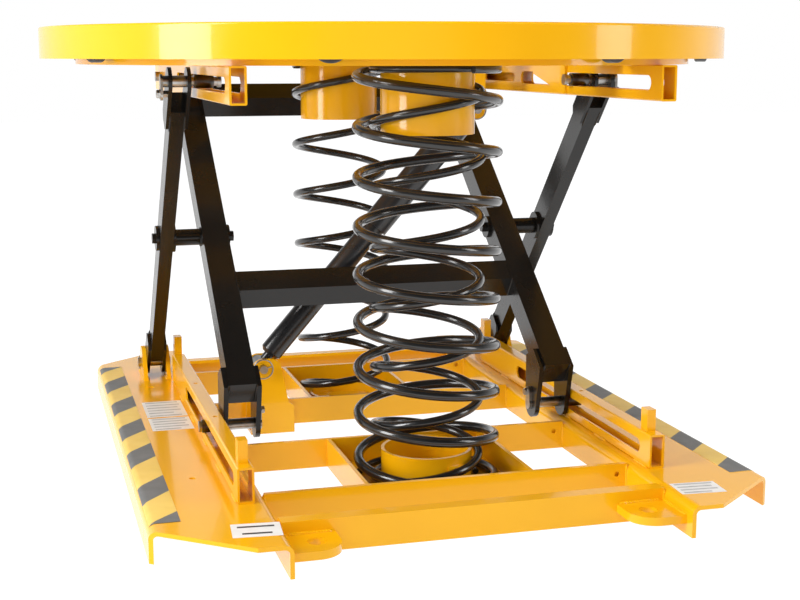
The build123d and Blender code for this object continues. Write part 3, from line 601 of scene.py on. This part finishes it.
FRAME_BEAD = 2.2 * MM
LUG_BEAD = 3 * MM
RAIL_WELD = 45 * MM
RAIL_WELD_PITCH = 150 * MM
RAIL_WELD_FIRST = 10 * MM
RAIL_WELD_LAST = 40 * MM
BRACKET_FACES = (325.5 * MM, 333.5 * MM, 369.5 * MM, 377.5 * MM)
WALL_WELD_LOW = 4 * MM
WALL_WELD_SHORT = 3 * MM
SPRING_Y = 0.2685
LUG_INNER = 0.21
LUG_OUTER = 0.277
LUG_FACE = 0.281
LUG_END = 0.598


def frame_welds():
    bm = bmesh.new()
    bead = FRAME_BEAD
    rail_low, rail_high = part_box("right_lower_rail")
    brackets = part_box("leg_foot_brackets")
    for side in (1, -1):
        for x in (rail_low[0], rail_high[0]):
            y = rail_low[1] + RAIL_WELD_FIRST
            while y < rail_high[1] - RAIL_WELD_LAST:
                weld_bead(bm, (side * x, y, WING_TOP), (side * x, y + RAIL_WELD, WING_TOP), bead)
                y += RAIL_WELD_PITCH
        for x in BRACKET_FACES:
            weld_bead(bm, (side * x, brackets[0][1], WING_TOP), (side * x, brackets[1][1], WING_TOP), bead)
    for name in ("front_pocket_wall", "front_middle_wall", "rear_middle_wall", "rear_pocket_wall",
                 "front_cross_member", "rear_cross_member"):
        low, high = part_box(name)
        for side in (1, -1):
            for y in (low[1], high[1]):
                x = side * high[0]
                weld_bead(bm, (x, y, WALL_WELD_LOW), (x, y, high[2] - WALL_WELD_SHORT), bead)
    cup_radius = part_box("lower_spring_cups")[1][0]
    for centre_y in (-SPRING_Y, SPRING_Y):
        weld_ring(bm, (0, centre_y, SPRING_LOW), cup_radius, (0, 0, 1), bead)
    lug_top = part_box("lifting_lugs")[1][2]
    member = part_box("rear_cross_member")[1][1]
    for sx in (1, -1):
        inner, outer, face = sx * LUG_INNER, sx * LUG_OUTER, sx * LUG_FACE
        for sy in (1, -1):
            near, far = sy * member, sy * LUG_END
            weld_bead(bm, (inner, near, lug_top), (outer, near, lug_top), LUG_BEAD)
            weld_bead(bm, (face, near, lug_top), (face, far, lug_top), LUG_BEAD)
    new_piece("base_welds", from_bmesh(bm, "welds"), YELLOW, "base")


OUTER_TILT = math.radians(47.2)
INNER_TILT = math.radians(37.2)
MIDDLE = (0.15021, 0.34715)
LOW_PIN = (-0.10458, 0.072)
HIGH_PIN_Z = 0.6223


def inner_point(along, up):
    """Y and Z of a point given along and square to the inner leg, from the middle pivot."""
    c, s = math.cos(INNER_TILT), math.sin(INNER_TILT)
    return MIDDLE[0] + along * c - up * s, MIDDLE[1] + along * s + up * c


def outer_point(along, up):
    """The same for the outer leg, whose positive end is the top roller's."""
    c, s = math.cos(OUTER_TILT), math.sin(OUTER_TILT)
    return MIDDLE[0] - along * c + up * s, MIDDLE[1] + along * s + up * c


INNER_HALF = 22.5 * MM
INNER_BEAD = 2.0 * MM
INNER_FACES = (0.245, 0.290)
INNER_ENDS = (-0.36, 0.4)
CROSS_TUBES = ((-0.133, 0.245), (0.3775, 0.237))
PIVOT_BOSS = 14.5 * MM
PIVOT_BEAD = 2.4 * MM
OUTER_HALF = 22 * MM
OUTER_BEAD = 1.6 * MM
EAR_FACES = (0.340, 0.363)
EAR_WELDS = ((0.287, 0.322), (-0.303, -0.335))


def inner_leg_welds():
    """Beads round each cross tube's end, across both of the leg's ends and round the middle pivot."""
    bm = bmesh.new()
    half = INNER_HALF
    square = ((-half, -half), (half, -half), (half, half), (-half, half))
    for side in (1, -1):
        for at, x in CROSS_TUBES:
            corners = [inner_point(at + along, up) for along, up in square]
            for first, second in zip(corners, corners[1:] + corners[:1]):
                weld_bead(bm, (side * x, *first), (side * x, *second), INNER_BEAD)
        for x in INNER_FACES:
            for at in INNER_ENDS:
                first, second = inner_point(at, -half), inner_point(at, half)
                weld_bead(bm, (side * x, *first), (side * x, *second), INNER_BEAD)
        weld_ring(bm, (side * INNER_FACES[1], *MIDDLE), PIVOT_BOSS, (1, 0, 0), PIVOT_BEAD)
    new_piece("inner_leg_welds", from_bmesh(bm, "welds"), BLACK, "inner_legs")


def outer_leg_welds():
    bm = bmesh.new()
    for side in (1, -1):
        for x in EAR_FACES:
            for start, end in EAR_WELDS:
                for up in (-OUTER_HALF, OUTER_HALF):
                    first, second = outer_point(start, up), outer_point(end, up)
                    weld_bead(bm, (side * x, *first), (side * x, *second), OUTER_BEAD)
    new_piece("outer_leg_welds", from_bmesh(bm, "welds"), BLACK, "outer_legs")


DECK_WELD_STARTS = (-0.34, -0.30, 0.28, 0.32)
DECK_WELD = 0.03
DECK_BEAD = 2 * MM
CUP_BEAD = 2.2 * MM
UPPER_CUP_RADIUS = 71 * MM
REAR_CUP_X = -0.010


def deck_welds():
    bm = bmesh.new()
    low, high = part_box("right_upper_rail")
    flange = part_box("deck_flange")[0][2]
    for side in (1, -1):
        for x in (low[0], high[0]):
            for y in DECK_WELD_STARTS:
                weld_bead(bm, (side * x, y, flange), (side * x, y + DECK_WELD, flange), DECK_BEAD)
    for x, y in ((0.0, -SPRING_Y), (REAR_CUP_X, SPRING_Y)):
        weld_ring(bm, (x, y, SPRING_HIGH), UPPER_CUP_RADIUS, (0, 0, 1), CUP_BEAD)
    new_piece("deck_welds", from_bmesh(bm, "welds"), YELLOW, "platform")


def hex_bolt(bm, centre, normal, across, height):
    """Washer and chamfered hexagon head, standing on centre."""
    centre, normal = Vector(centre), Vector(normal)
    disc(bm, centre, normal, across * 0.62, 1.2 * MM, sides=32, chamfer=0.3 * MM)
    disc(bm, centre + normal * 1.2 * MM, normal, across * 0.56, height, sides=6, chamfer=0.8 * MM)


KEEPER_ACROSS = 12 * MM
KEEPER_HEAD = 4.5 * MM
UPPER_KEEPER = (0.380, LOW_PIN[0], HIGH_PIN_Z - 0.019)
LOWER_KEEPER = (0.232, LOW_PIN[0] + 0.004, LOW_PIN[1] + 0.020)


def keeper_bolts(name, body, spot, way):
    """A bolt on each side's keeper plate, facing outwards where way is 1 and inwards where it is -1."""
    bm = bmesh.new()
    x, y, z = spot
    for side in (1, -1):
        hex_bolt(bm, (side * x, y, z), (side * way, 0, 0), KEEPER_ACROSS, KEEPER_HEAD)
    new_piece(name, from_bmesh(bm, name), ZINC, body)


CAMERA_PLACE = (-0.6117, -2.2829, 0.6627)
CAMERA_PITCH = -10.01
CAMERA_YAW = -15.77
CAMERA_LENS = 62.51
SENSOR_WIDTH = 36
LAMP_AIM = (0, 0, 0.35)
LAMPS = (
    ("left_box", (-3.1, -0.9, 1.5), (1.1, 2.6), 120, True),
    ("right_box", (2.9, -1.9, 1.6), (0.9, 2.2), 40, True),
    ("overhead", (0.0, -0.4, 3.4), (3.0, 3.0), 90, False),
    ("front_fill", (-0.9, -3.6, 1.2), (2.5, 2.0), 35, False),
)


def camera_and_light():
    scene = bpy.context.scene
    camera = bpy.data.objects.new("camera", bpy.data.cameras.new("camera"))
    scene.collection.objects.link(camera)
    camera.data.lens = CAMERA_LENS
    camera.data.sensor_width = SENSOR_WIDTH
    camera.location = CAMERA_PLACE
    camera.rotation_euler = (math.radians(90 + CAMERA_PITCH), 0, math.radians(CAMERA_YAW))
    scene.camera = camera
    scene.view_settings.view_transform = "Standard"

    scene.world = studio_world()
    for name, place, size, power, in_reflections in LAMPS:
        data = bpy.data.lights.new(name, "AREA")
        data.shape = "RECTANGLE"
        data.size, data.size_y = size
        data.energy = power
        lamp = bpy.data.objects.new(name, data)
        lamp.location = place
        lamp.rotation_euler = (Vector(LAMP_AIM) - Vector(place)).to_track_quat("-Z", "Y").to_euler()
        lamp.visible_glossy = in_reflections
        scene.collection.objects.link(lamp)


def studio_world():
    """White backdrop at +Y, with a dark ceiling and a dark open side towards -Y."""
    world = bpy.data.worlds.new("studio")
    world.use_nodes = True
    tree = world.node_tree
    direction = tree.nodes.new("ShaderNodeSeparateXYZ")
    tree.links.new(tree.nodes.new("ShaderNodeTexCoord").outputs["Generated"], direction.inputs["Vector"])
    spread = tree.nodes.new("ShaderNodeMapRange")
    spread.interpolation_type = "SMOOTHSTEP"
    spread.inputs["From Min"].default_value = -0.35
    spread.inputs["From Max"].default_value = 0.45
    spread.inputs["To Min"].default_value = 0.07
    spread.inputs["To Max"].default_value = 1.0
    tree.links.new(direction.outputs["Y"], spread.inputs["Value"])
    ceiling = tree.nodes.new("ShaderNodeMapRange")
    ceiling.interpolation_type = "SMOOTHSTEP"
    ceiling.inputs["From Min"].default_value = 0.15
    ceiling.inputs["From Max"].default_value = 0.55
    ceiling.inputs["To Min"].default_value = 1.0
    ceiling.inputs["To Max"].default_value = 0.12
    tree.links.new(direction.outputs["Z"], ceiling.inputs["Value"])
    room = tree.nodes.new("ShaderNodeMath")
    room.operation = "MULTIPLY"
    tree.links.new(spread.outputs["Result"], room.inputs[0])
    tree.links.new(ceiling.outputs["Result"], room.inputs[1])
    seen = tree.nodes.new("ShaderNodeLightPath").outputs["Is Camera Ray"]
    strength = tree.nodes.new("ShaderNodeMath")
    strength.operation = "MAXIMUM"
    tree.links.new(room.outputs["Value"], strength.inputs[0])
    tree.links.new(seen, strength.inputs[1])
    tree.links.new(strength.outputs["Value"], tree.nodes["Background"].inputs["Strength"])
    tree.nodes["Background"].inputs["Color"].default_value = (1, 1, 1, 1)
    return world


FLOOR_HALF = 12
FLOOR_BOTTOM = -0.02
FLOOR_TOP = -0.0002


def floor():
    bm = bmesh.new()
    half = FLOOR_HALF
    flat_shape(bm, [(-half, -half), (half, -half), (half, half), (-half, half)], FLOOR_BOTTOM, FLOOR_TOP)
    material = bpy.data.materials.new("pale_floor")
    material.use_nodes = True
    shader = material.node_tree.nodes["Principled BSDF"]
    shader.inputs["Base Color"].default_value = (0.15, 0.15, 0.15, 1)
    shader.inputs["Roughness"].default_value = 0.8
    shader.inputs["Specular IOR Level"].default_value = 0.1
    shader.inputs["Emission Color"].default_value = (1, 1, 1, 1)
    shader.inputs["Emission Strength"].default_value = 1.0
    obj = bpy.data.objects.new("floor", from_bmesh(bm, "floor"))
    bpy.context.scene.collection.objects.link(obj)
    obj.data.materials.append(material)


dress_frame()
springs()
hazard_tape(1, "right", RIGHT_BLOCKS, RIGHT_SLANT)
hazard_tape(-1, "left", LEFT_BLOCKS, LEFT_SLANT)
labels()
frame_welds()
inner_leg_welds()
outer_leg_welds()
deck_welds()
keeper_bolts("upper_keeper_bolts", "outer_legs", UPPER_KEEPER, 1)
keeper_bolts("lower_keeper_bolts", "inner_legs", LOWER_KEEPER, -1)
floor()
camera_and_light()
